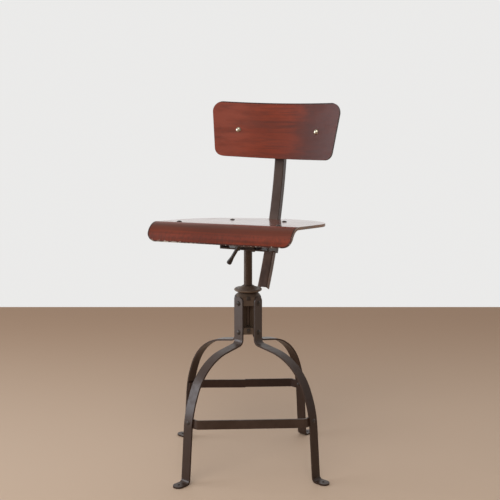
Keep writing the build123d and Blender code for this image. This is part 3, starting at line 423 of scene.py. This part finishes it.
# the back bar's iron; its paler lower end is painted light
BAR_IRON = iron("bar_iron_painted_light", (0.088, 0.054, 0.042), (0.062, 0.034, 0.023), RUST, 0.37,
                metal=0.15, over=paler_below_painted_light)
# a darker copy of the iron for the rear footrest bar, as painted shade
REAR_IRON_SHADED = iron("dull_rear_iron_painted_shade", (0.046, 0.021, 0.013), (0.032, 0.013, 0.008), RUST, 0.46,
                 metal=0.1)
CASTING = iron("dark_casting", (0.162, 0.113, 0.082), (0.113, 0.074, 0.050), CAST_RUST, 0.48,
               metal=0.2, grain=0.0006, wear=0.3)
WHEEL = iron("handled_casting", (0.200, 0.142, 0.103), (0.142, 0.096, 0.066),
             (0.100, 0.060, 0.040), 0.48, metal=0.2, grain=0.0006, wear=0.3)
OILED = iron("oiled_round_bar", (0.098, 0.062, 0.043), (0.071, 0.042, 0.028),
             (0.060, 0.032, 0.020), 0.32, metal=0.3, grain=0.0001, wear=0.2)
BLACK = iron("blackened_fastener", (0.060, 0.045, 0.038), (0.040, 0.028, 0.022),
             (0.060, 0.032, 0.022), 0.40, metal=0.3, grain=0.0001, wear=0.5)
NICKEL = plated("worn_nickel", (0.66, 0.60, 0.47), (0.34, 0.27, 0.18), 0.22)
SEAT_FLAT = stained_ply("polished_ply_seat", (0.30, 0.17, 0.11), 0.5, polished=True)
SEAT_ROLL = stained_ply("stained_ply_seat", (0.035, 0.014, 0.010), 0.8, shade=roll_scratches_and_painted_shade,
                        worn=lower_rim, border=dark_lip)
BACK_FACE = stained_ply("stained_ply_back", (0.030, 0.011, 0.008), 0.75, shade=back_reflection_and_streaks,
                        border=light_patch_and_rim_line)
SEAT_EDGE = ply_edge("ply_edge_seat", 9, SEAT_THICK, (0.46, 0.30, 0.21), (0.27, 0.14, 0.09))
BACK_EDGE = ply_edge("ply_edge_back", 7, BACK_THICK, (0.090, 0.038, 0.024), (0.045, 0.018, 0.012))


# ================= pieces =================
def seat_frame(point):
    """A point in the tilted seat's own frame."""
    return SEAT_TURN.transposed() @ (point - SEAT_ORIGIN)


def seat_sheet(point):
    """How far under the seat's upper face a point lies, and that face's direction there."""
    _, y, z = seat_frame(point)
    if y > ROLL_START:
        depth, ny, nz = -z, 0.0, 1.0
    elif z > -ROLL_R:
        dy, dz = y - ROLL_START, z + ROLL_R
        reach = max(hypot(dy, dz), 1e-6)
        depth, ny, nz = ROLL_R - reach, dy / reach, dz / reach
    else:
        depth, ny, nz = y - (ROLL_START - ROLL_R), -1.0, 0.0
    return depth, SEAT_TURN @ Vector((0, ny, nz))


def back_sheet(point):
    """How far behind the backrest's front face a point lies, and that face's direction there."""
    offset = point - BACK_ORIGIN
    y = offset.y * cos(BACK_TILT) - offset.z * sin(BACK_TILT)
    reach = hypot(offset.x, y + BACK_CURVE_R)
    nx, ny = offset.x / reach, (y + BACK_CURVE_R) / reach
    return reach - BACK_CURVE_R, Vector((nx, ny * cos(BACK_TILT), -ny * sin(BACK_TILT)))


def cleaned(node):
    """Editable copy of a CAD node, its split points welded and its flat faces made whole."""
    work = bmesh.new()
    work.from_mesh(frame["nodes"][node].data)
    bmesh.ops.remove_doubles(work, verts=work.verts, dist=WELD)
    bmesh.ops.dissolve_limit(work, angle_limit=FLAT, verts=work.verts, edges=work.edges)
    return work


def rounded(work, width, steps):
    """Rounds every sharp edge; returns the faces of the rounded strips."""
    edges = [e for e in work.edges if e.is_manifold and e.calc_face_angle() > SHARP]
    made = bmesh.ops.bevel(work, geom=edges, offset=width, offset_type="OFFSET", segments=steps,
                           profile=0.5, affect="EDGES", clamp_overlap=True)
    return set(made["faces"])


def mark_rounded(strips, layer):
    """Marks the points that lie inside the rounded strips, and not on their borders."""
    for vert in {v for face in strips for v in face.verts}:
        if all(face in strips for face in vert.link_faces):
            vert[layer] = 1.0


def finished(work, node, materials):
    """Turns the edited mesh into a piece that rides on its node's body and stands for the node."""
    name = node + "_worn"
    mesh = bpy.data.meshes.new(name)
    work.to_mesh(mesh)
    work.free()
    mesh.shade_smooth()
    for material in materials:
        mesh.materials.append(material)
    piece = bpy.data.objects.new(name, mesh)
    bpy.context.scene.collection.objects.link(piece)
    even = piece.modifiers.new("even_shading", "WEIGHTED_NORMAL")
    even.weight = SHADING_WEIGHT
    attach(piece, frame["nodes"][node]["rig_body"])
    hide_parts(node)


def softened(node, width, material):
    """A CAD node with rounded, slightly rubbed edges."""
    work = cleaned(node)
    layer = work.verts.layers.float.new("edge")
    mark_rounded(rounded(work, width, IRON_STEPS), layer)
    finished(work, node, [material])


SLOTS = {part["node"]: part["material_slot"] for part in frame["record"]["subparts"]}
FINISH = {"dark_steel": IRON, "dark_casting": CASTING, "oiled_steel": OILED,
          "black_fastener": BLACK, "nickel_bolt": NICKEL}
OWN_FINISH = {"back_bar": BAR_IRON, "footrest_bar_rear": REAR_IRON_SHADED, "clamp_wheel": WHEEL,
              "leg_front_left": LEG_IRON, "leg_front_right": LEG_IRON,
              "leg_rear_left": LEG_IRON, "leg_rear_right": LEG_IRON}
PLAIN_ROUNDING = 0.0008
ROUNDING = {
    "hub": 0.0016, "column_head": 0.0016, "clamp_wheel": 0.0009,
    "column": 0.0003, "clamp_collet": 0.0003, "backrest_bolts": 0.0004, "seat_bolts": 0.0004,
    "upper_hub_rivets": 0.0003, "lower_hub_rivets": 0.0003, "footrest_rivets": 0.0003,
    "upper_set_screw": 0.0006, "lower_set_screw": 0.0006, "guide_screw": 0.0006,
    "head_screws": 0.0004, "saddle_bolts": 0.0004, "seat_nuts": 0.0005, "backrest_nuts": 0.0005,
    "pivot_nut": 0.0006, "pivot_pin": 0.0005, "bracket_rivets": 0.0003,
    "clamp_lever": 0.0006, "clamp_screw": 0.0005,
}


def make_metal():
    """Every iron and steel piece, from its CAD node."""
    for node, slot in SLOTS.items():
        if slot != "stained_ply":
            width = ROUNDING.get(node, PLAIN_ROUNDING)
            softened(node, width, OWN_FINISH.get(node, FINISH[slot]))


def make_ply(node, sheet, materials, worn, zone):
    """A ply piece with rounded rims; its cut edges show their layers and its rim is worn.

    materials[1] is for the cut edges; zone gives the index for any other face from its middle.
    sheet gives the depth under the face, and worn the wear of a point from its place and edge.
    """
    work = cleaned(node)
    edge = work.verts.layers.float.new("edge")
    wear = work.verts.layers.float.new("wear")
    deep = work.verts.layers.float.new("depth")
    mark_rounded(rounded(work, PLY_ROUNDING, PLY_STEPS), edge)
    for vert in work.verts:
        depth, _ = sheet(vert.co)
        vert[deep] = depth
        vert[wear] = worn(vert.co, vert[edge])
    for face in work.faces:
        middle = face.calc_center_median()
        _, across = sheet(middle)
        is_cut = abs(face.normal.dot(across)) < CUT_EDGE
        face.material_index = 1 if is_cut else zone(middle)
    finished(work, node, materials)


def ramp(value, low, high):
    """Share from 0 to 1 of the way from low to high."""
    return max(0.0, min(1.0, (value - low) / (high - low)))


def seat_wear_and_glint(point, edge):
    """The roll's lower rim is chipped, most at the sitter's right; its end at the left gets a pale
    line on the rim, which is a painted highlight.
    """
    z = seat_frame(point).z
    lip = ramp(-z, *WORN_LIP) * (0.25 + 0.75 * ramp(-point.x, *WORN_SIDE))
    # painted highlight: a pale line along the roll's end at the sitter's left
    glint_at_end = point.x > GLINT_END_X and GLINT_END_Z[0] < z < GLINT_END_Z[1]
    return edge * max(lip, 0.9 if glint_at_end else 0.25)


def seat_zone(middle):
    """The upper side of the flat is polished by use, and the rest is not."""
    _, y, z = seat_frame(middle)
    return 2 if y > ROLL_START and z > -SEAT_THICK / 2 else 0


def back_wear(_point, edge):
    """The panel's rim is worn a little all round."""
    return 0.12 * edge


def back_zone(_middle):
    """The panel's faces all have the first material."""
    return 0


make_metal()
make_ply("seat", seat_sheet, [SEAT_ROLL, SEAT_EDGE, SEAT_FLAT], seat_wear_and_glint, seat_zone)
make_ply("backrest", back_sheet, [BACK_FACE, BACK_EDGE], back_wear, back_zone)


# ================= studio =================
def make_floor():
    """Plain brown floor, darker at the wall, that ends in a straight line behind the chair."""
    corners = [TOWARDS_WALL * ahead + RIGHT * side for ahead, side in (
        (FLOOR_FRONT, -FLOOR_SIDE), (FLOOR_FRONT, FLOOR_SIDE),
        (FLOOR_WALL, FLOOR_SIDE), (FLOOR_WALL, -FLOOR_SIDE))]
    mesh = bpy.data.meshes.new("floor")
    mesh.from_pydata([tuple(c) for c in corners], [], [(0, 1, 2, 3)])
    mesh.attributes.new("far", "FLOAT", "POINT").data.foreach_set("value", (0.0, 0.0, 1.0, 1.0))
    floor = bpy.data.objects.new("floor", mesh)
    bpy.context.scene.collection.objects.link(floor)
    paint = Paint("pale_floor")
    far = paint.span(paint.mark("far"), 0.62, 1.0)
    paint.set(Base_Color=paint.mix(far, FLOOR_NEAR_COLOUR, FLOOR_FAR_COLOUR), Roughness=0.7)
    mesh.materials.append(paint.material)


def make_world():
    """Even pale wall for the eye.

    For light and reflections the room is darker behind the usual viewpoint and above it.
    """
    world = bpy.data.worlds.new("studio")
    bpy.context.scene.world = world
    world.use_nodes = True
    tree = world.node_tree
    back = tree.nodes["Background"]
    direction = tree.nodes.new("ShaderNodeTexCoord").outputs["Generated"]
    dot = tree.nodes.new("ShaderNodeVectorMath")
    dot.operation = "DOT_PRODUCT"
    tree.links.new(direction, dot.inputs[0])
    dot.inputs[1].default_value = TOWARDS_WALL * 0.85 - RIGHT * 0.3 - UP * 0.35
    level = tree.nodes.new("ShaderNodeMapRange")
    level.interpolation_type = "SMOOTHSTEP"
    tree.links.new(dot.outputs["Value"], level.inputs["Value"])
    dark, lit = ROOM_LEVELS
    limits = {"From Min": -0.7, "From Max": 0.5, "To Min": dark, "To Max": lit}
    for key, number in limits.items():
        level.inputs[key].default_value = number
    eye = tree.nodes.new("ShaderNodeLightPath").outputs["Is Camera Ray"]
    mix = tree.nodes.new("ShaderNodeMix")
    mix.data_type = "FLOAT"
    tree.links.new(eye, mix.inputs[0])
    tree.links.new(level.outputs["Result"], mix.inputs[2])
    mix.inputs[3].default_value = WALL_LEVEL
    tree.links.new(mix.outputs[0], back.inputs["Strength"])
    back.inputs["Color"].default_value = (1.0, 0.995, 0.985, 1.0)


def add_light(name, place, size, power, colour):
    """Square soft light aimed at the middle of the chair."""
    data = bpy.data.lights.new(name, "AREA")
    data.size = size
    data.energy = power
    data.color = colour
    light = bpy.data.objects.new(name, data)
    light.location = place
    light.rotation_euler = (LIGHT_AIM - place).to_track_quat("-Z", "Y").to_euler()
    bpy.context.scene.collection.objects.link(light)


def make_camera():
    """Camera in front of the chair, a little to the sitter's left."""
    data = bpy.data.cameras.new("camera")
    data.lens = VIEW_LENS
    data.sensor_width = VIEW_SENSOR
    camera = bpy.data.objects.new("camera", data)
    camera.location = -TOWARDS_WALL * VIEW_DISTANCE + RIGHT * VIEW_SIDE + UP * VIEW_HEIGHT
    look = TOWARDS_WALL * cos(VIEW_PITCH) - UP * sin(VIEW_PITCH)
    camera.rotation_euler = look.to_track_quat("-Z", "Y").to_euler()
    bpy.context.scene.collection.objects.link(camera)
    bpy.context.scene.camera = camera


make_floor()
make_world()
add_light("window", -RIGHT * 4.2 - TOWARDS_WALL * 0.28 + UP * 1.35,
          size=2.5, power=86, colour=(0.79, 0.895, 1.0))
add_light("overhead", -TOWARDS_WALL * 2.1 - RIGHT * 0.6 + UP * 2.9,
          size=2.6, power=50, colour=(1.0, 0.98, 0.95))
make_camera()
bpy.context.scene.view_settings.view_transform = "Standard"
